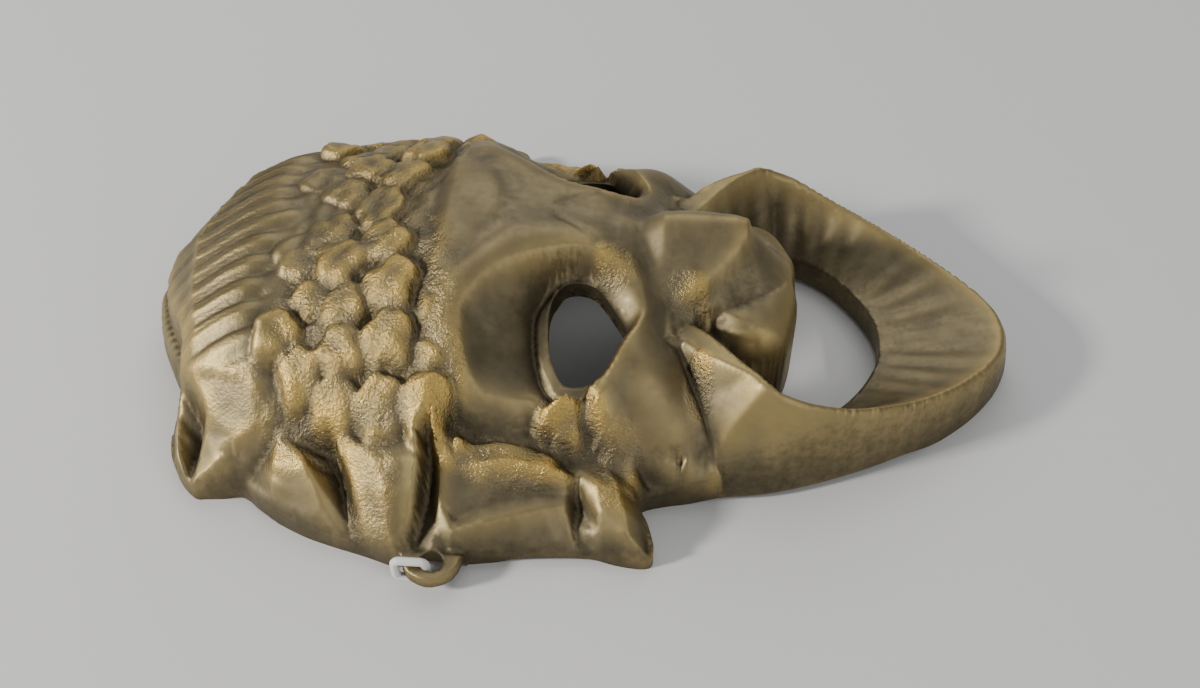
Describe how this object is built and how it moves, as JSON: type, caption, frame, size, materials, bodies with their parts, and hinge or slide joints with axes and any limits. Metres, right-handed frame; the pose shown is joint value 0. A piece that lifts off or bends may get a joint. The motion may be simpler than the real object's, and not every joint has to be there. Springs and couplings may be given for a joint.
{
  "type": "wall mask",
  "caption": "Cast brass grotesque theatre mask with an open mouth, pierced eyes, vine leaves and grapes, a hollow back and hanging lugs.",
  "frame": {"origin": "middle of the mask's plan on the flat that its rim rests on", "axes": "+X from the crown towards the chin, +Z out of the face, -Y towards the lug that holds the cord"},
  "size_m": [0.25, 0.1773, 0.0576],
  "materials": {
    "aged_brass": "sand cast, aged, with rubbed high spots",
    "white_cord": "white nylon cord"
  },
  "bodies": {
    "root": {"mask": "aged_brass", "cord_loop": "white_cord"}
  },
  "joints": []
}
